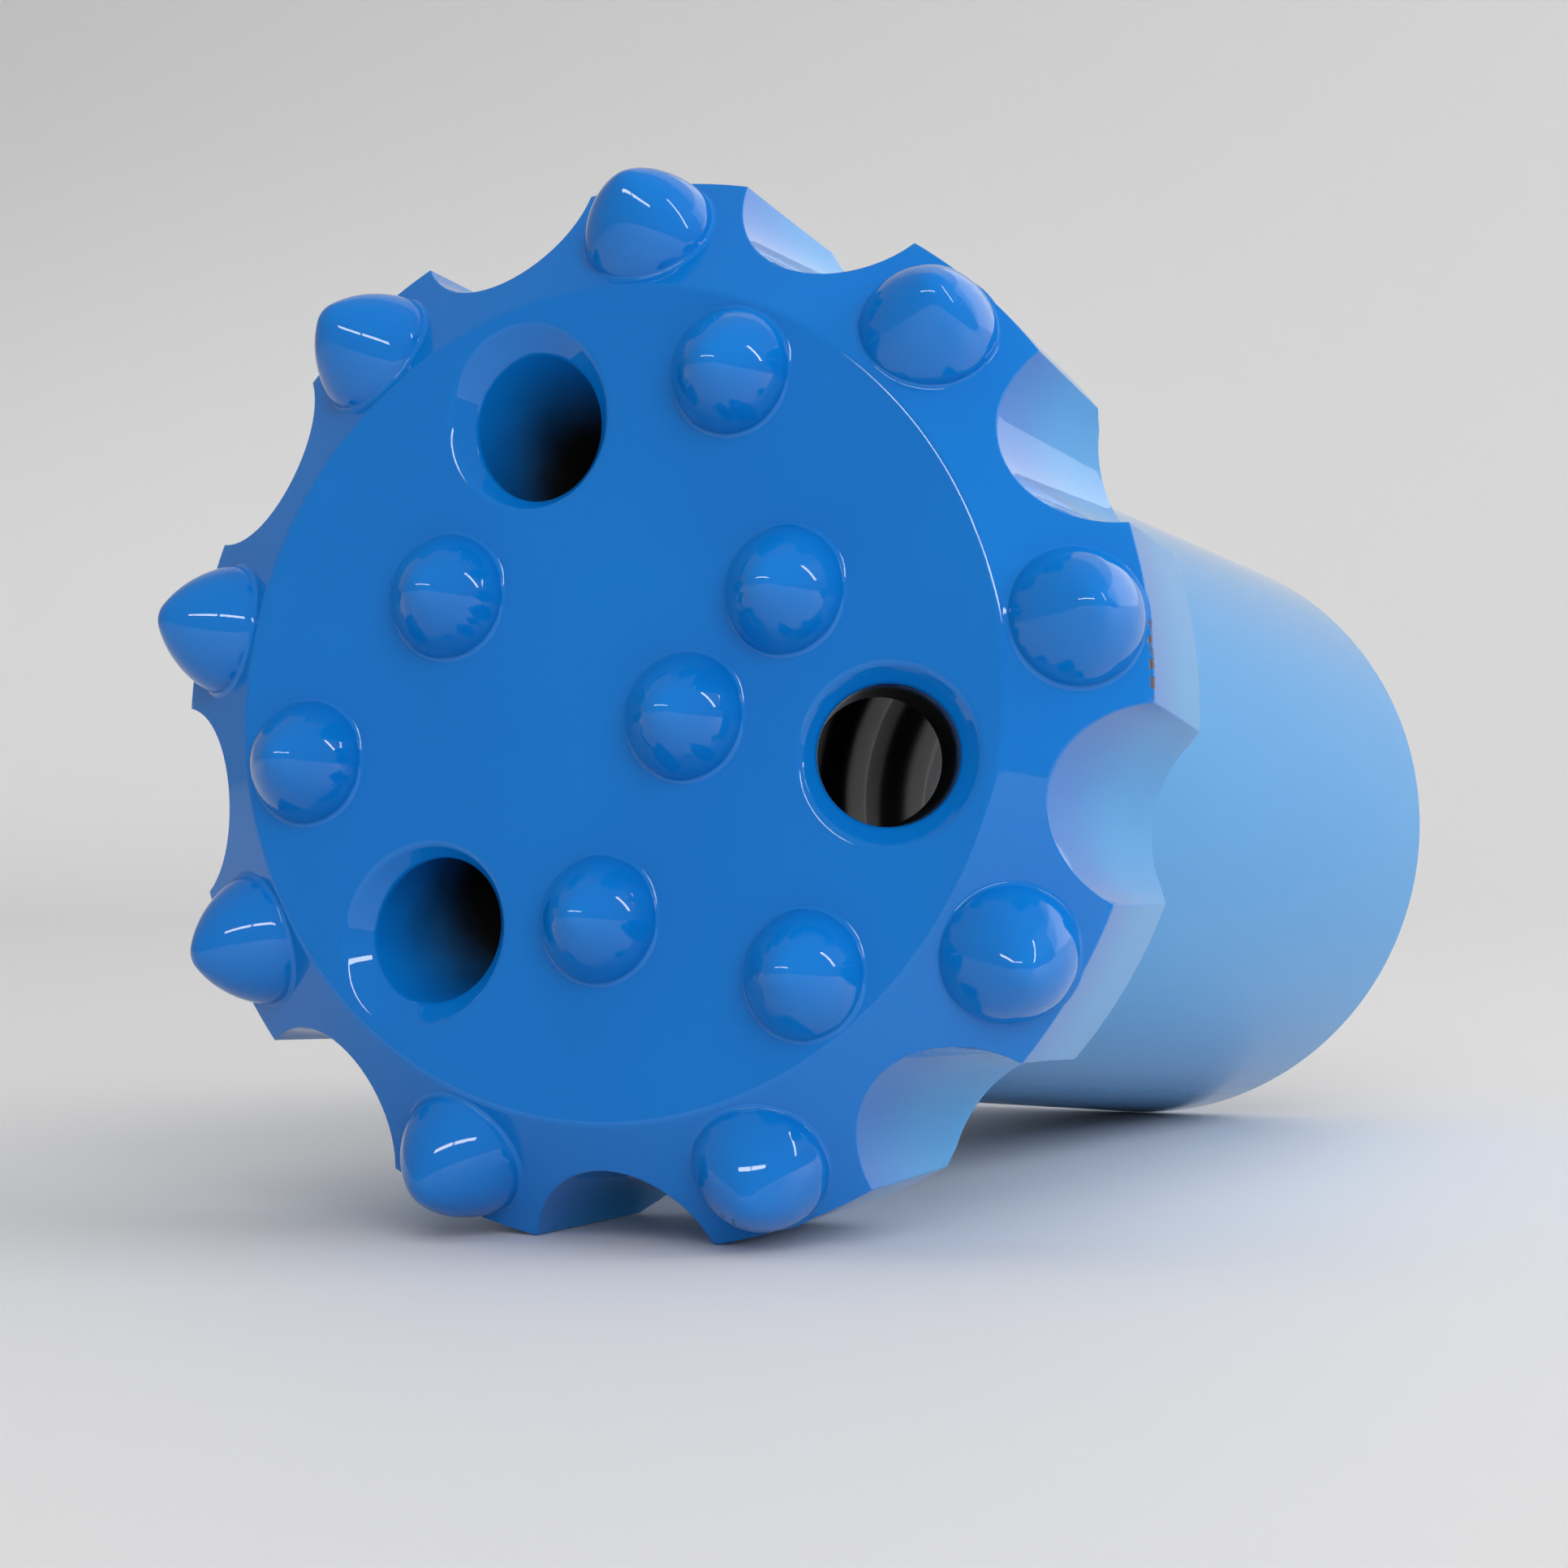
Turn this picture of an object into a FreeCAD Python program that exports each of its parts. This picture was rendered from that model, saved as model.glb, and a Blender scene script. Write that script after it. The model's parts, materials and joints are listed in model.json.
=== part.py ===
"""Button drill bit for a top-hammer rock drill.

One forged and turned steel body carries sixteen cemented-carbide buttons, each
pressed into a blind hole of its own: nine lean outwards on the bevel and keep
the hole to gauge, seven stand on the flat face.  A female trapezoidal rod
thread fills the skirt, and three flushing holes run from the bottom of that
socket to the face, where the flutes carry the cuttings away.

The bit is drawn about its own axis, standing on the skirt end, and then laid
on its side as it comes to rest: two land corners of one flute and the rim of
the skirt touch the ground.  Sizes are millimetres and degrees.
"""
import FreeCAD, Part
import math
import os

from FreeCAD import Placement, Rotation, Vector

# Head, from the flat face back to the skirt
sector_count = 9            # flutes round the head, with one gauge button between each two
face_dia = 78.2             # flat front face
land_dia = 101.0            # steel at the front rim of the lands
bevel_angle = 35.0          # gauge bevel against the flat face
side_length = 20.7          # lands, from the front rim to the back edge
side_taper = 6.6            # lands fall away from the bore of the hole
back_edge = 1.4             # chamfer that breaks the back edge of the lands
back_angle = 30.0           # back of the head against a plane square to the axis
back_fillet = 7.0           # root of the head where it meets the skirt
face_edge_radius = 1.2      # turned edge between face and bevel

# Flutes, milled parallel to the axis
flute_radius = 9.85
flute_offset = 2.6          # the flute's centre line lies this far outside the lands

# Skirt and rod socket
overall_length = 150.7
skirt_dia = 70.0
skirt_edge = 1.5            # chamfer on the skirt end
socket_depth = 110.5
thread_major_dia = 51.2
thread_depth = 2.4
thread_pitch = 18.0
thread_crest = 6.4          # flat left between two turns of the groove
thread_root = 5.6           # flat at the bottom of the groove
thread_overlap = 0.6        # the groove's cutter reaches this far inside the core
entry_clearance = 1.1       # plain counterbore at the mouth, wider than the thread all round
entry_depth = 12.0
entry_lead_in = 1.4         # chamfer at the mouth
relief_clearance = 0.3      # undercut that the thread runs out into, wider than it all round
relief_width = 9.0
nose_step = 0.4             # plain bore for the rod's nose, inside the thread's crests
nose_depth = 12.0
socket_corner = 2.0         # radius at the foot of the socket

# Flushing holes, drilled from the face into the socket
flushing_hole_dia = 12.8
flushing_hole_circle = 57.6     # pitch circle of their centres on the face
flushing_hole_slant = 25.0      # towards the axis, going in
flushing_hole_chamfer = 1.9
first_flushing_sector = 2       # sectors are counted anticlockwise from the lowest flute

# Carbide buttons: shank, ogive and rounded tip
gauge_button_dia = 13.0
gauge_button_inset = 5.5        # from the front rim of the lands to where the axis leaves the bevel
gauge_button_height = 7.15      # tip above the bevel
gauge_button_tip = 2.55
face_button_dia = 12.0
face_button_height = 6.8
face_button_tip = 2.4
button_flank_start = 17.0       # lean of the ogive where it leaves the shank
button_shank = 10.5             # shank below the steel
button_foot = 0.8               # chamfer at the foot of the shank
outer_button_circle = 65.0
first_outer_sector = 1
middle_button_circle = 40.4
first_middle_sector = 0
centre_button_offset = 8.0      # sits off the axis, so that no core is left standing
centre_button_sector = 2
buttons_per_ring = 3

# Derived places, measured up from the skirt end along the axis
sector_pitch = 360.0 / sector_count
face_radius = face_dia / 2
land_radius = land_dia / 2
flute_centre = land_radius + flute_offset
gauge_button_radius = land_radius - gauge_button_inset
skirt_radius = skirt_dia / 2
thread_radius = thread_major_dia / 2
core_radius = thread_radius - thread_depth
entry_radius = thread_radius + entry_clearance
relief_radius = thread_radius + relief_clearance
nose_radius = core_radius - nose_step
bevel_depth = (land_radius - face_radius) * math.tan(math.radians(bevel_angle))
rim_height = overall_length - bevel_depth
back_height = rim_height - side_length
back_radius = land_radius - side_length * math.tan(math.radians(side_taper))
root_height = back_height - (back_radius - skirt_radius) * math.tan(math.radians(back_angle))
relief_top = socket_depth - nose_depth
relief_foot = relief_top - relief_width
overrun = 6.0               # cutters start this far outside the steel
same_place = 1e-4           # edges this close to a radius or height are on it
AXIS = Vector(0, 0, 1)


def radial(angle, radius, height):
    """Point at a radius and a height, with the angle taken anticlockwise from +X."""
    turn = math.radians(angle)
    return Vector(radius * math.cos(turn), radius * math.sin(turn), height)


def sector_angle(sector):
    """Direction of a flute, counted anticlockwise from the lowest one."""
    return -90.0 + sector * sector_pitch


def revolved(points):
    """Solid of revolution about the axis, from (radius, height) corners."""
    corners = [Vector(radius, 0, height) for radius, height in points]
    outline = Part.makePolygon(corners + corners[:1])
    return Part.Face(outline).revolve(Vector(0, 0, 0), AXIS, 360)


def circular_edges(solid, radius, height):
    """Edges of a turned solid that run round the axis at one radius and height."""
    found = []
    for edge in solid.Edges:
        curve = edge.Curve
        if isinstance(curve, Part.Circle) and abs(curve.Radius - radius) < same_place:
            if abs(curve.Center.z - height) < same_place:
                found.append(edge)
    return found


def turned_blank():
    """Outside of the body before milling: skirt, back of the head, lands, bevel and face."""
    edge_rise = back_edge * math.tan(math.radians(back_angle))
    side_drop = back_edge * math.tan(math.radians(side_taper))
    blank = revolved([
        (0, 0),
        (skirt_radius - skirt_edge, 0),
        (skirt_radius, skirt_edge),
        (skirt_radius, root_height),
        (back_radius - back_edge, back_height - edge_rise),
        (back_radius + side_drop, back_height + back_edge),
        (land_radius, rim_height),
        (face_radius, overall_length),
        (0, overall_length),
    ])
    blank = blank.makeFillet(back_fillet, circular_edges(blank, skirt_radius, root_height))
    return blank.makeFillet(face_edge_radius, circular_edges(blank, face_radius, overall_length))


def socket_cutter():
    """Bored inside of the skirt: counterbore, thread core, thread relief and nose bore."""
    bore = revolved([
        (0, -overrun),
        (entry_radius + entry_lead_in + overrun, -overrun),
        (entry_radius, entry_lead_in),
        (entry_radius, entry_depth),
        (core_radius, entry_depth + (entry_radius - core_radius)),
        (core_radius, relief_foot - (relief_radius - core_radius)),
        (relief_radius, relief_foot),
        (relief_radius, relief_top - (relief_radius - nose_radius)),
        (nose_radius, relief_top),
        (nose_radius, socket_depth),
        (0, socket_depth),
    ])
    return bore.makeFillet(socket_corner, circular_edges(bore, nose_radius, socket_depth))


def thread_cutter():
    """Left-hand trapezoidal groove, from inside the counterbore to the relief."""
    mouth = thread_pitch - thread_crest
    flank_slope = (mouth - thread_root) / 2 / thread_depth
    inner_radius = core_radius - thread_overlap
    inner_half = mouth / 2 + thread_overlap * flank_slope
    start = entry_depth - thread_pitch / 2
    run = (relief_foot + relief_top) / 2 - start
    profile = Part.makePolygon([
        Vector(inner_radius, 0, start - inner_half),
        Vector(thread_radius, 0, start - thread_root / 2),
        Vector(thread_radius, 0, start + thread_root / 2),
        Vector(inner_radius, 0, start + inner_half),
        Vector(inner_radius, 0, start - inner_half),
    ])
    path = Part.makeLongHelix(thread_pitch, run, core_radius, 0, True)
    path.translate(Vector(0, 0, start))
    return Part.Wire(path).makePipeShell([profile], True, True)


def flute_cutters():
    """One round milling cut per flute, through the whole head."""
    cutters = []
    for sector in range(sector_count):
        foot = radial(sector_angle(sector), flute_centre, root_height - overrun)
        length = overall_length - root_height + 2 * overrun
        cutters.append(Part.makeCylinder(flute_radius, length, foot, AXIS))
    return cutters


def flushing_axes():
    """Mouth and inward direction of each flushing hole."""
    step = sector_count // buttons_per_ring
    axes = []
    for number in range(buttons_per_ring):
        angle = sector_angle(first_flushing_sector + number * step)
        mouth = radial(angle, flushing_hole_circle / 2, overall_length)
        lean = math.radians(flushing_hole_slant)
        inward = radial(angle, -math.sin(lean), -math.cos(lean))
        axes.append((mouth, inward))
    return axes


def flushing_cutters():
    """Drilled holes, long enough to break out into the socket."""
    thickness = overall_length - socket_depth
    length = thickness / math.cos(math.radians(flushing_hole_slant)) + 2 * overrun
    cutters = []
    for mouth, inward in flushing_axes():
        start = mouth - inward * overrun
        cutters.append(Part.makeCylinder(flushing_hole_dia / 2, length, start, inward))
    return cutters


def chamfer_flushing_mouths(body):
    """Break the edge of each flushing hole where it meets the face."""
    edges = []
    for edge in body.Edges:
        on_face = all(abs(v.Z - overall_length) < same_place for v in edge.Vertexes)
        if isinstance(edge.Curve, Part.Ellipse) and on_face:
            edges.append(edge)
    return body.makeChamfer(flushing_hole_chamfer, edges)


def button(dia, height, tip):
    """One carbide button standing on +Z, with the steel's surface at zero."""
    radius = dia / 2
    lean = math.radians(button_flank_start)
    tip_centre = height - tip
    # The ogive leaves the shank at the lean and runs tangent into the round tip.
    spread = radius * math.cos(lean) - tip_centre * math.sin(lean) - tip
    ogive = (radius ** 2 + tip_centre ** 2 - tip ** 2) / (2 * spread)
    centre = Vector(radius - ogive * math.cos(lean), 0, -ogive * math.sin(lean))
    join = math.atan2(tip_centre - centre.z, -centre.x)

    def on_ogive(angle):
        return centre + Vector(ogive * math.cos(angle), 0, ogive * math.sin(angle))

    def on_tip(angle):
        return Vector(tip * math.cos(angle), 0, tip_centre + tip * math.sin(angle))

    apex = Vector(0, 0, height)
    foot = Vector(0, 0, -button_shank)
    shank_top = Vector(radius, 0, 0)
    shank_foot = Vector(radius, 0, button_foot - button_shank)
    foot_edge = Vector(radius - button_foot, 0, -button_shank)
    outline = Part.Wire([
        Part.LineSegment(foot, foot_edge).toShape(),
        Part.LineSegment(foot_edge, shank_foot).toShape(),
        Part.LineSegment(shank_foot, shank_top).toShape(),
        Part.Arc(shank_top, on_ogive((lean + join) / 2), on_ogive(join)).toShape(),
        Part.Arc(on_ogive(join), on_tip((join + math.pi / 2) / 2), apex).toShape(),
        Part.LineSegment(apex, foot).toShape(),
    ])
    return Part.Face(outline).revolve(Vector(0, 0, 0), AXIS, 360)


def button_seats():
    """Every button: name, shape, and where its axis leaves the steel."""
    gauge = button(gauge_button_dia, gauge_button_height, gauge_button_tip)
    front = button(face_button_dia, face_button_height, face_button_tip)
    seats = []
    lean = math.radians(bevel_angle)
    gauge_height = overall_length - (gauge_button_radius - face_radius) * math.tan(lean)
    for number in range(sector_count):
        angle = sector_angle(number + 0.5)
        seat = radial(angle, gauge_button_radius, gauge_height)
        outwards = radial(angle, math.sin(lean), math.cos(lean))
        seats.append((f"gauge_button_{number + 1}", gauge, gauge_button_dia, seat, outwards))
    step = sector_count // buttons_per_ring
    rings = [
        ("outer_button", outer_button_circle, first_outer_sector),
        ("middle_button", middle_button_circle, first_middle_sector),
    ]
    for ring, circle, first in rings:
        for number in range(buttons_per_ring):
            angle = sector_angle(first + number * step)
            seat = radial(angle, circle / 2, overall_length)
            seats.append((f"{ring}_{number + 1}", front, face_button_dia, seat, AXIS))
    seat = radial(sector_angle(centre_button_sector), centre_button_offset, overall_length)
    seats.append(("centre_button", front, face_button_dia, seat, AXIS))
    return seats


def bit_body(seats):
    """The steel body, with its socket, thread, flutes, flushing holes and button holes."""
    body = turned_blank().cut(socket_cutter())
    body = body.cut(thread_cutter())
    body = body.cut(flute_cutters())
    body = body.cut(flushing_cutters())
    body = chamfer_flushing_mouths(body)
    holes = []
    for _, _, dia, seat, outwards in seats:
        foot = seat - outwards * button_shank
        holes.append(Part.makeCylinder(dia / 2, button_shank + overrun, foot, outwards))
    return body.cut(holes)


def resting_placement(solids):
    """Turn the standing bit on to its side, as it rests, with the origin under its middle."""
    reach_sum = land_radius ** 2 + flute_centre ** 2 - flute_radius ** 2
    corner_drop = reach_sum / (2 * flute_centre)      # the lowest flute's land corners
    tilt = math.degrees(math.atan2(corner_drop - skirt_radius, rim_height - skirt_edge))
    laid = Placement(Vector(0, 0, 0), Rotation(Vector(1, 0, 0), 90 - tilt))
    whole = Part.makeCompound([solid.transformed(laid.toMatrix()) for solid in solids])
    box = whole.optimalBoundingBox(True, False)
    shift = Vector(-(box.XMin + box.XMax) / 2, -(box.YMin + box.YMax) / 2, -box.ZMin)
    return Placement(shift, laid.Rotation)


seats = button_seats()
nodes = {"bit_body": bit_body(seats)}
for name, shape, _, seat, outwards in seats:
    stand = Placement(seat, Rotation(AXIS, outwards))
    nodes[name] = shape.transformed(stand.toMatrix())

rest = resting_placement(list(nodes.values()))
os.makedirs("parts", exist_ok=True)
for name, shape in nodes.items():
    shape.transformed(rest.toMatrix()).exportStep(f"parts/{name}.step")
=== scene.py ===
"""Button drill bit for a top-hammer rock drill, lying on a pale sweep of paper.

The steel body and its sixteen carbide buttons are drawn about the bit's own axis, in millimetres,
standing on the skirt end, and are then laid on the ground where the frame has them.
"""
import json
import math
import bmesh
import bpy
from mathutils import Matrix, Vector


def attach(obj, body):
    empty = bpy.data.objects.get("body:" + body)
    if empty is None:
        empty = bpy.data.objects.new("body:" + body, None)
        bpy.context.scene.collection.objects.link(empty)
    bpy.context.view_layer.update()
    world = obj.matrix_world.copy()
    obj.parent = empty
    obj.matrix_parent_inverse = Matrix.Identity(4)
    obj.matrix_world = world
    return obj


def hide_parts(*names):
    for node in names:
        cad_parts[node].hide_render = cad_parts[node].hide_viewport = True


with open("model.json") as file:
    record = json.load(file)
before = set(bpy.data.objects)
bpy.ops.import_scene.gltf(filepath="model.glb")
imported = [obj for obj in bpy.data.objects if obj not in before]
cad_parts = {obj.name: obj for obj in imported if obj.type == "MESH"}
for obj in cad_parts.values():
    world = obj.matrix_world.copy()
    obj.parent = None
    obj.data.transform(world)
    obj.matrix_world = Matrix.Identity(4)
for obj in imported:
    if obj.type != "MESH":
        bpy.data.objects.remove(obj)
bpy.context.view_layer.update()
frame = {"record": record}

# ---------------------------------------------------------------------------------------------
# Steel body.  It is forged and turned in one piece: a round skirt with the rod socket, and a
# head with nine milled flutes, a bevel for the gauge buttons and a flat face.  It was dipped or
# sprayed in one thick coat of blue gloss, which rounds every edge a little.
sectors = 9
face_radius = 39.1
land_radius = 50.5
skirt_radius = 35.0
overall_length = 150.7
bevel_angle = 35
bevel_lean = math.radians(bevel_angle)
bevel_slope = math.tan(bevel_lean)
side_length = 20.7
side_slope = math.tan(math.radians(6.6))
back_edge = 1.4
back_angle = math.radians(30)
back_fillet = 7.0
face_edge = 1.2
flute_radius = 9.85
flute_centre = 53.1
skirt_edge = 1.5
rim_height = overall_length - (land_radius - face_radius) * bevel_slope
back_height = rim_height - side_length
back_radius = land_radius - side_length * side_slope
root_height = back_height - (back_radius - skirt_radius) * math.tan(back_angle)
flute_steps = 24            # mesh columns across a flute, and across a land
land_steps = 20

socket_depth = 110.5
socket_steps = 192
thread_minor, thread_major, thread_pitch = 23.2, 25.6, 18.0
thread_crest, thread_root = 6.4, 5.6
thread_start = 3.0          # the groove's middle passes here on the +X side
thread_rounding = 0.5
thread_row = 0.55           # height of a mesh row in the thread
socket_profile = [          # height above the skirt end, radius
    (0, 28.1), (1.4, 26.7), (12, 26.7), (15.5, 23.2),
    (86.8, 23.2), (89.5, 25.9), (95.4, 25.9), (98.5, 22.8), (108.5, 22.8),
]
socket_corner = 2.0

hole_radius = 6.4
hole_circle = 57.6
hole_lean = math.radians(25)
hole_chamfer = 1.9
hole_sectors = (2, 5, 8)
hole_steps = 72
mouth_rounding = 0.45       # the coat rounds both edges of a hole's chamfer over this run
mouth_rows = 10             # mesh rows over the chamfer, which keep the outer coat
edge_support = 0.1          # flat strip of face outside the rounding

MM = 0.001
IN_BORE = 1                 # material slot of the socket and the holes
seat = {mount["name"]: mount for mount in frame["record"]["mounts"]}["rod_seat"]
ahead = -Vector(seat["axis"])                   # from the skirt towards the face
across = Vector((1, 0, 0))
lying = Matrix((across, ahead.cross(across), ahead)).transposed().to_4x4()
lying = Matrix.Translation(seat["pos_m"]) @ lying @ Matrix.Diagonal((MM, MM, MM, 1))
lying = lying @ Matrix.Translation((0, 0, -socket_depth))


def sector_angle(sector):
    """Direction of a flute, counted anticlockwise from the lowest one."""
    return math.radians(-90 + 360 / sectors * sector)


def bevel_height(radius):
    return overall_length - (radius - face_radius) * bevel_slope


def back_cone_height(radius):
    return root_height + (radius - skirt_radius) * math.tan(back_angle)


def head_section(radius):
    """Outline of the head where its lands have that radius: flute, land, flute, land..."""
    reach = (radius ** 2 + flute_centre ** 2 - flute_radius ** 2) / (2 * radius * flute_centre)
    half = math.acos(reach)
    swing = math.atan2(radius * math.sin(half), flute_centre - radius * reach)
    points = []
    for sector in range(sectors):
        middle = sector_angle(sector)
        out = Vector((math.cos(middle), math.sin(middle)))
        along = Vector((-out.y, out.x))
        for step in range(flute_steps + 1):
            turn = swing * (2 * step / flute_steps - 1)
            depth = flute_centre - flute_radius * math.cos(turn)
            points.append(out * depth + along * (flute_radius * math.sin(turn)))
        land = 2 * math.pi / sectors - 2 * half
        for step in range(1, land_steps):
            angle = middle + half + land * step / land_steps
            points.append(Vector((math.cos(angle), math.sin(angle))) * radius)
    return points


def circle(radius, height, steps):
    turns = [2 * math.pi * step / steps for step in range(steps)]
    return [Vector((radius * math.cos(t), radius * math.sin(t), height)) for t in turns]


body = bmesh.new()
softness = body.edges.layers.float.new("bevel_weight_edge")


def ring(points):
    return [body.verts.new(point) for point in points]


def skin(first, second, coat=0):
    """Faces between two closed rings of as many points, under the outer coat or the bore's."""
    for here in range(len(first)):
        there = (here + 1) % len(first)
        face = body.faces.new((first[here], first[there], second[there], second[here]))
        face.material_index = coat


def soften(corners, weight):
    """Rounds the edges that run round a ring, by a share of the coat's rounding."""
    for here in range(len(corners)):
        edge = body.edges.get((corners[here], corners[(here + 1) % len(corners)]))
        edge[softness] = weight


def arc(centre, radius, start, end, steps):
    """Points of a turned rounding, as (radius, height)."""
    turns = [math.radians(start + (end - start) * step / steps) for step in range(steps + 1)]
    return [(centre[0] + radius * math.cos(t), centre[1] + radius * math.sin(t)) for t in turns]


# The lands and flutes, from the rim of the bevel down to the cone behind the head
side_foot = (back_radius + back_edge * side_slope, back_height + back_edge)
cone_start = (back_radius - back_edge, back_height - back_edge * math.tan(back_angle))
land_rows = []
for share in (0, 0.06, 0.2, 0.4, 0.6, 0.8, 0.94, 1):
    land_rows.append((land_radius + (side_foot[0] - land_radius) * share,
                      rim_height + (side_foot[1] - rim_height) * share))
land_rows += [((side_foot[0] + cone_start[0]) / 2, (side_foot[1] + cone_start[1]) / 2), cone_start]
rim = head_section(land_radius)
foot = head_section(cone_start[0])
columns = len(rim)
per_sector = flute_steps + land_steps
in_flute = [column % per_sector <= flute_steps for column in range(columns)]
head_rings = []
for radius, height in land_rows:
    fall = (rim_height - height) / (rim_height - cone_start[1])
    points = []
    for column, place in enumerate(head_section(radius)):
        level = height
        if in_flute[column]:
            top = bevel_height(rim[column].length)
            level = top + (back_cone_height(foot[column].length) - top) * fall
        points.append(Vector((place.x, place.y, level)))
    head_rings.append(ring(points))
for upper, lower in zip(head_rings, head_rings[1:]):
    skin(upper, lower)
soften(head_rings[0], 1.0)
soften(head_rings[-1], 0.8)
for column in range(columns):
    if not (in_flute[column] and in_flute[(column + 1) % columns]):
        ends = (head_rings[-3][column], head_rings[-3][(column + 1) % columns])
        body.edges.get(ends)[softness] = 0.6
    if column % per_sector in (0, flute_steps):
        for upper, lower in zip(head_rings, head_rings[1:]):
            body.edges.get((upper[column], lower[column]))[softness] = 0.8

# The bevel and the turned edge of the flat face
rim_ways = [place.normalized() for place in rim]
face_run = face_edge * math.tan(bevel_lean / 2)
face_strip = 0.25           # flat strip of face inside its rounded edge
edge_arc = arc((face_radius - face_run, overall_length - face_edge), face_edge, 90 - bevel_angle, 90, 5)
bevel_start = edge_arc[0][0]
below = head_rings[0]
for share in (0.93, 0.75, 0.5, 0.25, 0.08):
    points = []
    for way, place in zip(rim_ways, rim):
        radius = bevel_start + (place.length - bevel_start) * share
        points.append(Vector((way.x * radius, way.y * radius, bevel_height(radius))))
    above = ring(points)
    skin(above, below)
    below = above
for radius, height in edge_arc + [(edge_arc[-1][0] - face_strip, overall_length)]:
    above = ring([Vector((way.x * radius, way.y * radius, height)) for way in rim_ways])
    skin(above, below)
    below = above
face_border = below

# The cone behind the head, its rounded root, and the plain skirt down to its end
foot_ways = [place.normalized() for place in foot]
cone_run = back_fillet * math.tan(back_angle)
cone_end = skirt_radius + cone_run * math.cos(back_angle)
above = head_rings[-1]
for share in (0.12, 0.4, 0.7):
    points = []
    for way, place in zip(foot_ways, foot):
        radius = place.length + (cone_end - place.length) * share
        points.append(Vector((way.x * radius, way.y * radius, back_cone_height(radius))))
    below = ring(points)
    skin(above, below)
    above = below
root_arc = arc((skirt_radius + back_fillet, root_height - cone_run), back_fillet, 120, 180, 10)
skirt_top = root_arc[-1][1]
skirt_rows = [(skirt_radius, skirt_top + (skirt_edge - skirt_top) * step / 9) for step in range(1, 10)]
skirt_strip, mouth_strip = 0.8, 0.7     # flat strips of the skirt end, outside and inside
end_rows = [(skirt_radius - skirt_edge, 0), (skirt_radius - skirt_edge - skirt_strip, 0)]
for radius, height in root_arc + skirt_rows + end_rows:
    below = ring([Vector((way.x * radius, way.y * radius, height)) for way in foot_ways])
    skin(above, below)
    if (radius, height) in (skirt_rows[-1], end_rows[0]):
        soften(below, 0.9)
    above = below
skirt_border = above

# The rod socket: counterbore, left-hand thread, relief and nose bore
turned_levels = [height for height, radius in socket_profile]
mouth_edge, thread_foot, thread_end = turned_levels[1], turned_levels[2], turned_levels[6]
thread_span = turned_levels[7] - thread_foot
thread_rows = int(thread_span / thread_row)
levels = [thread_foot + thread_span * row / thread_rows for row in range(1, thread_rows)]
levels = sorted(set(round(level, 3) for level in turned_levels + levels))
too_near = 0.2              # a mesh row this near to a turned corner is left out
kept_levels = []
for level in levels:
    if not any(0 < abs(level - height) < too_near for height in turned_levels):
        kept_levels.append(level)


def turned_radius(height):
    """Radius that the boring bar leaves at a height."""
    for (low, first), (high, second) in zip(socket_profile, socket_profile[1:]):
        if height <= high:
            return first + (second - first) * (height - low) / (high - low)
    return socket_profile[-1][1]


def groove_radius(angle, height):
    """Radius of the thread's groove, with its corners rounded by the coat of paint."""
    turns = (height - thread_start) / thread_pitch + angle / (2 * math.pi)
    away = abs((turns + 0.5) % 1 - 0.5) * thread_pitch
    flank = (thread_pitch - thread_crest - thread_root) / 2
    drop = (away - thread_root / 2) / flank * (thread_major - thread_minor)
    depth = 0.5 * (drop + math.hypot(drop, thread_rounding))
    depth = (thread_major - thread_minor) - depth
    return thread_minor + 0.5 * (depth + math.hypot(depth, thread_rounding))


mouth = ring(circle(socket_profile[0][1] + mouth_strip, 0, socket_steps))
above = mouth
for level in kept_levels:
    points = []
    for point in circle(1, 0, socket_steps):
        radius = turned_radius(level)
        if thread_foot <= level <= thread_end:
            radius = max(radius, groove_radius(math.atan2(point.y, point.x), level))
        points.append(Vector((point.x * radius, point.y * radius, level)))
    below = ring(points)
    skin(above, below, IN_BORE)
    if level in (0, mouth_edge):
        soften(below, 0.6)
    above = below
nose = socket_profile[-1][1]
seat_strip = 0.6
corner_arc = arc((nose - socket_corner, socket_depth - socket_corner), socket_corner, 0, 90, 5)
for radius, height in corner_arc[1:] + [(nose - socket_corner - seat_strip, socket_depth)]:
    below = ring(circle(radius, height, socket_steps))
    skin(above, below, IN_BORE)
    above = below
seat_border = above

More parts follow.
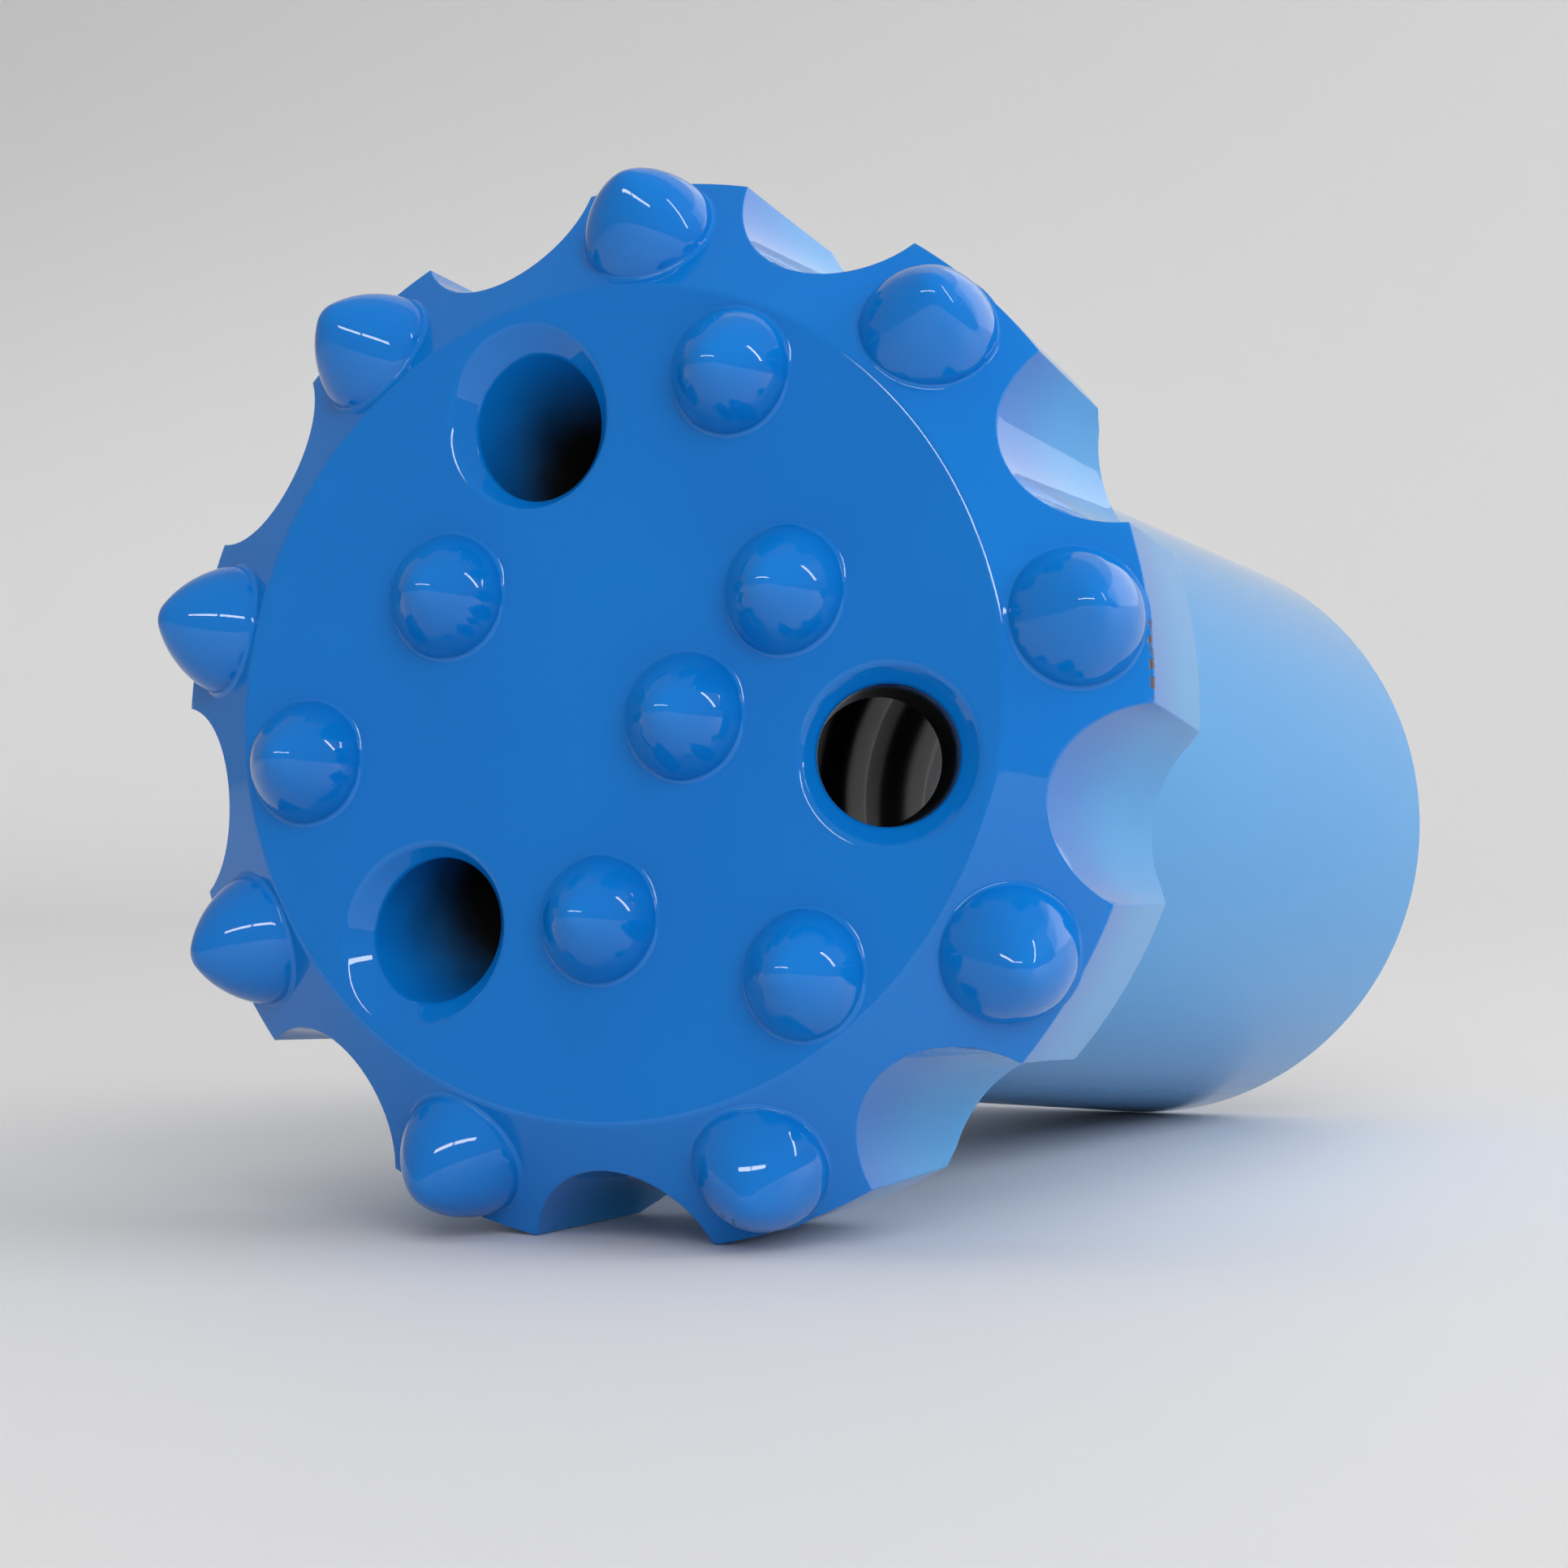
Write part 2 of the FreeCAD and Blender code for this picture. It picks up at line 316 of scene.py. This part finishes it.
# The flushing holes, from their rounded mouths on the face to the bottom of the socket
face_holes, seat_holes = [], []
for sector in hole_sectors:
    angle = sector_angle(sector)
    out = Vector((math.cos(angle), math.sin(angle), 0))
    along = Vector((-out.y, out.x, 0))
    centre = out * (hole_circle / 2) + Vector((0, 0, overall_length))
    inwards = -out * math.sin(hole_lean) - Vector((0, 0, 1)) * math.cos(hole_lean)
    square = out * math.cos(hole_lean) - Vector((0, 0, 1)) * math.sin(hole_lean)
    profiles = []
    for step in range(hole_steps):
        turn = 2 * math.pi * step / hole_steps
        wall = square * math.cos(turn) + along * math.sin(turn)
        tangent = -square * math.sin(turn) + along * math.cos(turn)
        slope = wall.z / inwards.z
        edge = centre + hole_radius * (wall - inwards * slope)
        run = tangent - inwards * (tangent.z / inwards.z)
        outwards = Vector((run.y, -run.x, 0)).normalized()
        down = run.normalized().cross(wall).normalized()
        if down.z > 0:
            down = -down
        lip = edge + outwards * hole_chamfer
        throat = edge + down * hole_chamfer
        fall = (throat - lip).normalized()
        stops = [lip + outwards * (mouth_rounding + edge_support)]
        for corner, before, after in ((lip, outwards, fall), (throat, -fall, down)):
            for share in (0, 0.25, 0.5, 0.75, 1):
                near = corner + before * mouth_rounding * (1 - share)
                far = corner + after * mouth_rounding * share
                stops.append(near.lerp(far, share))
        deep = (socket_depth - stops[-1].z) / inwards.z
        stops += [stops[-1] + inwards * deep * share for share in (0.1, 0.35, 0.65, 0.9, 1)]
        profiles.append(stops)
    rings = [ring(points) for points in zip(*profiles)]
    for row, (first_ring, second_ring) in enumerate(zip(rings, rings[1:])):
        skin(first_ring, second_ring, IN_BORE if row >= mouth_rows else 0)
    soften(rings[-1], 0.5)
    face_holes.append(rings[0])
    seat_holes.append(rings[-1])


def fill(borders, normal, coat=0):
    """Flat steel between several rings."""
    edges = []
    for border in borders:
        for here in range(len(border)):
            edges.append(body.edges.get((border[here], border[(here + 1) % len(border)])))
    made = bmesh.ops.triangle_fill(body, edges=edges, use_beauty=True, normal=normal)
    for face in made["geom"]:
        if isinstance(face, bmesh.types.BMFace):
            face.material_index = coat


fill([face_border] + face_holes, (0, 0, 1))
fill([seat_border] + seat_holes, (0, 0, -1), IN_BORE)
fill([skirt_border, mouth], (0, 0, -1))
bmesh.ops.recalc_face_normals(body, faces=body.faces)
body.transform(lying)
mesh = bpy.data.meshes.new("steel_body")
body.to_mesh(mesh)
body.free()
mesh.shade_smooth()
steel_body = bpy.data.objects.new("steel_body", mesh)
bpy.context.collection.objects.link(steel_body)
rounding = steel_body.modifiers.new("paint_rounding", "BEVEL")
rounding.limit_method = "WEIGHT"
rounding.width = 0.5 * MM       # where the weight is 1
rounding.segments = 3
rounding.use_clamp_overlap = True
flatness = steel_body.modifiers.new("flatness", "WEIGHTED_NORMAL")
flatness.weight = 60
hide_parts("bit_body")
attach(steel_body, "root")


class Shade:
    """An output of one of a material's nodes, so that shader maths is written as sums."""

    def __init__(self, tree, output=None):
        self.tree = tree
        self.output = output

    def node(self, kind, settings, sockets, out=0):
        """Adds a node: its settings first, then the values or links of its sockets."""
        made = self.tree.nodes.new("ShaderNode" + kind)
        for name, value in settings.items():
            setattr(made, name, value)
        for name, value in sockets.items():
            if isinstance(value, Shade):
                self.tree.links.new(value.output, made.inputs[name])
            else:
                made.inputs[name].default_value = value
        return Shade(self.tree, made.outputs[out])

    def maths(self, operation, *values):
        return self.node("Math", {"operation": operation}, dict(enumerate(values)))

    def __add__(self, other):
        return self.maths("ADD", self, other)

    def __radd__(self, other):
        return self.maths("ADD", other, self)

    def __sub__(self, other):
        return self.maths("SUBTRACT", self, other)

    def __rsub__(self, other):
        return self.maths("SUBTRACT", other, self)

    def __mul__(self, other):
        return self.maths("MULTIPLY", self, other)

    def __rmul__(self, other):
        return self.maths("MULTIPLY", other, self)

    def between(self, low, high):
        """0 below low, 1 above high, and smooth in between."""
        return self.node("MapRange", {"interpolation_type": "SMOOTHSTEP"},
                         {"Value": self, "From Min": low, "From Max": high})

    def mix(self, share, first, second):
        """Colour that goes from the first to the second with a share."""
        return self.node("Mix", {"data_type": "RGBA"}, {0: share, 6: first, 7: second}, out=2)


def around(angle, radius, height):
    """Place in the bit's own frame, with the angle taken anticlockwise from +X."""
    return Vector((radius * math.cos(angle), radius * math.sin(angle), height))


deep_blue, bright_blue = (0.0015, 0.158, 0.540, 1), (0.0020, 0.172, 0.575, 1)
# Paler blue for the side of the head and the skirt: painted sheen of the bright side light
sheen_painted_blue = (0.006, 0.270, 0.640, 1)
pit_dark, bubble_dark = (0.004, 0.012, 0.035, 1), (0.003, 0.008, 0.020, 1)
bare_steel = (0.085, 0.050, 0.036, 1)
# Near-black and dark grey that the blue fades to down the bores
bore_black, bore_grey = (0.006, 0.006, 0.007, 1), (0.013, 0.012, 0.012, 1)
painted_sheen_heights = (128, 146)    # heights above the skirt end between which the painted sheen gives way to the deeper blue of the face
face_fade = (136, 150)      # and between which the blue fades to near-black down a hole, and into the socket
skirt_fade = (2, 9)

# The coat is knocked off a stretch of the rim, and bubbled on the low side of one gauge button
knocked = lying @ around(math.radians(5), land_radius, rim_height)
bubbles = lying @ around(math.radians(-70), 47.2, overall_length - 0.6)
bubbles += Vector((-2.2, -0.6, -3.4)) * MM


def gloss_paint(name, in_bore=False):
    """Thick blue gloss: even, a little wavy, with pinholes here and there.

    Down the bores the blue fades to near-black with depth.
    """
    material = bpy.data.materials.new(name)
    material.use_nodes = True
    tree = material.node_tree
    shader = tree.nodes["Principled BSDF"]
    shade = Shade(tree)
    place = shade.node("TexCoord", {}, {}, out="Object")
    up_bit = shade.node("VectorMath", {"operation": "DOT_PRODUCT"}, {0: place, 1: ahead}, out="Value")
    height = (up_bit - ahead.dot(Vector(seat["pos_m"]))) * (1 / MM) + socket_depth

    # The side of the head and the skirt are painted paler than the face, a painted sheen of the bright
    # side light
    broad = shade.node("TexNoise", {}, {"Vector": place, "Scale": 28.0, "Detail": 3.0})
    colour = shade.mix(broad.between(0.3, 0.7), deep_blue, bright_blue)
    colour = shade.mix(height.between(*painted_sheen_heights), sheen_painted_blue, colour)

    # Pinholes, bubbles and the chipped stretch of rim
    pits = shade.node("TexVoronoi", {"feature": "F1"}, {"Vector": place, "Scale": 330.0})
    rarity = shade.node("TexNoise", {}, {"Vector": place, "Scale": 70.0, "Detail": 2.0})
    pit = (1 - pits.between(0.05, 0.09)) * rarity.between(0.72, 0.76)
    colour = shade.mix(pit, colour, pit_dark)

    grains = shade.node("TexVoronoi", {"feature": "F1"}, {"Vector": place, "Scale": 1300.0})
    bubbled = shade.node("VectorMath", {"operation": "DISTANCE"}, {0: place, 1: bubbles}, out="Value")
    bubble = (1 - bubbled.between(0.0012, 0.0024)) * (1 - grains.between(0.18, 0.26))
    knock = shade.node("VectorMath", {"operation": "DISTANCE"}, {0: place, 1: knocked}, out="Value")
    off_rim = shade.maths("ABSOLUTE", height - rim_height)
    chips = shade.node("TexNoise", {}, {"Vector": place, "Scale": 1500.0, "Detail": 2.0})
    chipped = (1 - knock.between(0.0030, 0.0038)) * (1 - off_rim.between(0.16, 0.30))
    chipped = chipped * chips.between(0.46, 0.54)
    colour = shade.mix(bubble, colour, bubble_dark)
    colour = shade.mix(chipped, colour, bare_steel)

    dull = shade.node("TexNoise", {}, {"Vector": place, "Scale": 160.0, "Detail": 3.0})
    roughness = dull * 0.03 + 0.015 + (pit + bubble + chipped) * 0.4
    if in_bore:
        patchy = shade.node("TexNoise", {}, {"Vector": place, "Scale": 120.0, "Detail": 4.0})
        # Darker with depth down the holes and the socket, with the blue kept near their mouths
        level = height + patchy * 6 - 3
        painted = shade.maths("MAXIMUM", level.between(*face_fade), 1 - level.between(*skirt_fade))
        deep_colour = shade.mix(patchy.between(0.35, 0.65), bore_black, bore_grey)
        colour = shade.mix(painted, deep_colour, colour)
        roughness = roughness + (1 - painted) * 0.4
        shader.inputs["Specular IOR Level"].default_value = 0.2
    tree.links.new(colour.output, shader.inputs["Base Color"])
    tree.links.new(roughness.output, shader.inputs["Roughness"])

    peel = shade.node("TexNoise", {}, {"Vector": place, "Scale": 420.0, "Detail": 1.0})
    sags = shade.node("TexNoise", {}, {"Vector": place, "Scale": 75.0, "Detail": 1.0})
    relief = peel * 0.005 + sags * 0.03 - (pit + bubble + chipped) * 0.10
    bump = shade.node("Bump", {}, {"Height": relief, "Distance": MM, "Strength": 0.6})
    tree.links.new(bump.output, shader.inputs["Normal"])
    return material


steel_body.data.materials.append(gloss_paint("blue_gloss_on_steel"))
steel_body.data.materials.append(gloss_paint("blue_gloss_into_bores", in_bore=True))

# ---------------------------------------------------------------------------------------------
# Carbide buttons: ground from one blank each and pressed into their holes, nine leaning out on
# the bevel and seven on the flat face.  The coat covers them too, and fills the corner round
# each with a thin fillet of paint.
gauge_size = dict(radius=6.5, height=7.15, tip=2.55)
face_size = dict(radius=6.0, height=6.8, tip=2.4)
ogive_lean = math.radians(17)
shank_depth = 10.5
shank_edge = 0.8
gauge_circle = 45.0
outer_circle, middle_circle, centre_offset = 32.5, 20.2, 8.0
fillet_height = 0.38
fillet_reach = 0.45
fillet_gap = 0.15           # the dome's own rings stop this far above the fillet
paint_film = 0.02
button_steps = 72
upright = Vector((0, 0, 1))
button_paint = gloss_paint("blue_gloss_on_carbide")


def button_outline(radius, height, tip):
    """Dome of a button from its tip to the top of its shank, as (radius, height)."""
    tip_centre = height - tip
    spread = radius * math.cos(ogive_lean) - tip_centre * math.sin(ogive_lean) - tip
    ogive = (radius ** 2 + tip_centre ** 2 - tip ** 2) / (2 * spread)
    centre = (radius - ogive * math.cos(ogive_lean), -ogive * math.sin(ogive_lean))
    join = math.degrees(math.atan2(tip_centre - centre[1], -centre[0]))
    dome = arc((0, tip_centre), tip, 90, join, 9)[1:]
    return dome + arc(centre, ogive, join, math.degrees(ogive_lean), 14)[1:]


def make_button(name, size, place, way, on_bevel):
    """One button with its shank, and the paint that fills the corner round it."""
    turned = upright.rotation_difference(way).to_matrix().to_4x4()
    stand = Matrix.Translation(place) @ turned
    button = bmesh.new()
    radius = size["radius"]

    def ground(point):
        """Height of the steel beside the button, in the button's own frame."""
        level = 0.0
        if on_bevel:
            for _ in range(4):
                spot = stand @ Vector((point.x, point.y, level))
                miss = spot.z - bevel_height(math.hypot(spot.x, spot.y))
                level -= miss * math.cos(bevel_lean)
        return level

    rings = []
    outline = [stop for stop in button_outline(**size) if stop[1] > fillet_height + fillet_gap]
    for reach, height in outline:
        rings.append(circle(reach, height, button_steps))
    wall = outline[-1][0] + paint_film
    for share in (0, 0.2, 0.4, 0.6, 0.8, 1):
        turn = share * math.pi / 2
        reach = wall + (radius + fillet_reach - wall) * (1 - math.cos(turn))
        rise = fillet_height * (1 - math.sin(turn))
        points = circle(reach, 0, button_steps)
        rings.append([Vector((p.x, p.y, ground(p) + rise - paint_film)) for p in points])
    for reach, depth in ((radius + fillet_reach - 0.1, 0.3), (radius, 0.6)):
        points = circle(reach, 0, button_steps)
        rings.append([Vector((p.x, p.y, ground(p) - depth)) for p in points])
    rings.append(circle(radius, shank_edge - shank_depth, button_steps))
    rings.append(circle(radius - shank_edge, -shank_depth, button_steps))
    tip = button.verts.new((0, 0, size["height"]))
    made = [[button.verts.new(point) for point in points] for points in rings]
    for here in range(button_steps):
        button.faces.new((tip, made[0][here], made[0][(here + 1) % button_steps]))
    for upper, lower in zip(made, made[1:]):
        for here in range(button_steps):
            there = (here + 1) % button_steps
            button.faces.new((upper[here], lower[here], lower[there], upper[there]))
    button.faces.new(made[-1])
    bmesh.ops.recalc_face_normals(button, faces=button.faces)
    button.transform(lying @ stand)
    data = bpy.data.meshes.new(name + "_painted")
    button.to_mesh(data)
    button.free()
    data.shade_smooth()
    data.materials.append(button_paint)
    piece = bpy.data.objects.new(name + "_painted", data)
    bpy.context.collection.objects.link(piece)
    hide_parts(name)
    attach(piece, "root")


for number in range(sectors):
    angle = sector_angle(number + 0.5)
    outwards = around(angle, math.sin(bevel_lean), math.cos(bevel_lean))
    place = around(angle, gauge_circle, bevel_height(gauge_circle))
    make_button(f"gauge_button_{number + 1}", gauge_size, place, outwards, True)
for ring_name, radius, first in (("outer_button", outer_circle, 1), ("middle_button", middle_circle, 0)):
    for number in range(3):
        place = around(sector_angle(first + 3 * number), radius, overall_length)
        make_button(f"{ring_name}_{number + 1}", face_size, place, upright, False)
place = around(sector_angle(2), centre_offset, overall_length)
make_button("centre_button", face_size, place, upright, False)

# ---------------------------------------------------------------------------------------------
# Pale paper.  One matt roll lies under the bit and curves up behind it, and low down on the far
# left a pool of light is painted on it, a little whiter.
paper = bmesh.new()
paper_half = 1.6
paper_front, paper_top = -1.2, 1.8
curve_start, curve_radius, curve_steps = 0.55, 0.5, 24
sweep = [(paper_front, 0.0), (curve_start, 0.0)]
for step in range(1, curve_steps + 1):
    turn = math.pi / 2 * step / curve_steps
    reach = curve_start + curve_radius * math.sin(turn)
    sweep.append((reach, curve_radius - curve_radius * math.cos(turn)))
sweep.append((curve_start + curve_radius, paper_top))
rows = [[paper.verts.new((x, y, z)) for x in (-paper_half, paper_half)] for y, z in sweep]
for low, high in zip(rows, rows[1:]):
    paper.faces.new((low[0], low[1], high[1], high[0]))
data = bpy.data.meshes.new("paper_sweep")
paper.to_mesh(data)
paper.free()
data.shade_smooth()
paper_sweep = bpy.data.objects.new("paper_sweep", data)
bpy.context.collection.objects.link(paper_sweep)
plain_white, lit_white = (0.705, 0.70, 0.70, 1), (0.86, 0.855, 0.85, 1)
paper_look = bpy.data.materials.new("pale_paper")
paper_look.use_nodes = True
paper_shade = Shade(paper_look.node_tree)
paper_place = paper_shade.node("TexCoord", {}, {}, out="Object")
spread = [paper_shade.node("SeparateXYZ", {}, {"Vector": paper_place}, out=axis) for axis in (0, 1, 2)]
# Painted pool of light, low down on the far left of the paper
lit_side = (1 - spread[0].between(-0.75, -0.05)) * spread[1].between(0.45, 0.75)
lit_side = lit_side * (1 - spread[2].between(0.08, 0.36))
paper_colour = paper_shade.mix(lit_side, plain_white, lit_white)
paper_shader = paper_look.node_tree.nodes["Principled BSDF"]
paper_look.node_tree.links.new(paper_colour.output, paper_shader.inputs["Base Color"])
paper_shader.inputs["Roughness"].default_value = 0.6
paper_sweep.data.materials.append(paper_look)

# ---------------------------------------------------------------------------------------------
# Daylight.  The room is dim, and large soft panes light the bit from the side, from above and
# from the front.  The gloss mirrors a side window with its vent, two rows of lamps and a back
# window.
world = bpy.data.worlds.new("daylight")
bpy.context.scene.world = world
world.use_nodes = True
background = world.node_tree.nodes["Background"]
background.inputs["Color"].default_value = (0.97, 0.98, 1.0, 1)
background.inputs["Strength"].default_value = 0.30

bit_middle = Vector((0, 0, 0.05))
side_way = (0.84, 0.21, 0.50)
lamp_way = (0.19, -0.88, 0.43)


def window(name, way, distance, width, height, level, lights=True, shows=True, aside=0.0):
    """A lit pane that faces the bit from some way off.

    Its level is how brightly it would light a white card.  One that only shows is a pane that
    the gloss mirrors, and one that only lights is the soft daylight of the whole room.
    """
    towards = Vector(way).normalized()
    light = bpy.data.lights.new(name, "AREA")
    light.shape = "RECTANGLE"
    light.size, light.size_y = width, height
    light.energy = level * math.pi ** 2 * distance ** 2
    turn = towards.to_track_quat("Z", "Y")
    holder = bpy.data.objects.new(name, light)
    holder.location = bit_middle + towards * distance + turn @ Vector((aside, 0, 0))
    holder.rotation_euler = turn.to_euler()
    holder.visible_glossy = shows
    holder.visible_diffuse = lights
    bpy.context.collection.objects.link(holder)


window("daylight_from_the_side", side_way, 1.8, 1.0, 1.0, 0.40, shows=False)
window("daylight_from_above", (0.05, 0.05, 1.0), 2.2, 2.4, 2.4, 0.36, shows=False)
window("daylight_of_the_room", (0.45, -0.80, 0.40), 2.2, 1.6, 1.6, 0.60, shows=False)
window("side_window", side_way, 1.8, 0.66, 0.95, 0.95, lights=False)
window("side_window_vent", side_way, 1.8, 0.20, 0.95, 0.26, lights=False, aside=-0.47)
window("lamp_row_left", lamp_way, 2.6, 1.3, 0.17, 0.14, lights=False, aside=-0.75)
window("lamp_row_right", lamp_way, 2.6, 1.3, 0.17, 0.14, lights=False, aside=0.65)
window("back_window", (0.42, 0.80, 0.42), 1.0, 1.4, 0.62, 0.20, lights=False)

# ---------------------------------------------------------------------------------------------
# Camera.  It stands to the right of the face, level with the middle of the bit, and its long
# lens takes in the face and the side of the skirt.
camera = bpy.data.cameras.new("camera")
camera.lens = 96.35
camera.sensor_width = 36.0
camera.shift_x = -0.0052
camera.shift_y = -0.0262
camera.clip_start = 0.02
viewpoint = bpy.data.objects.new("camera", camera)
viewpoint.location = (0.1756, -0.4189, 0.0474)
viewpoint.rotation_euler = (math.radians(89.84), math.radians(0.22), math.radians(24.35))
bpy.context.collection.objects.link(viewpoint)
bpy.context.scene.camera = viewpoint
bpy.context.scene.view_settings.view_transform = "Standard"
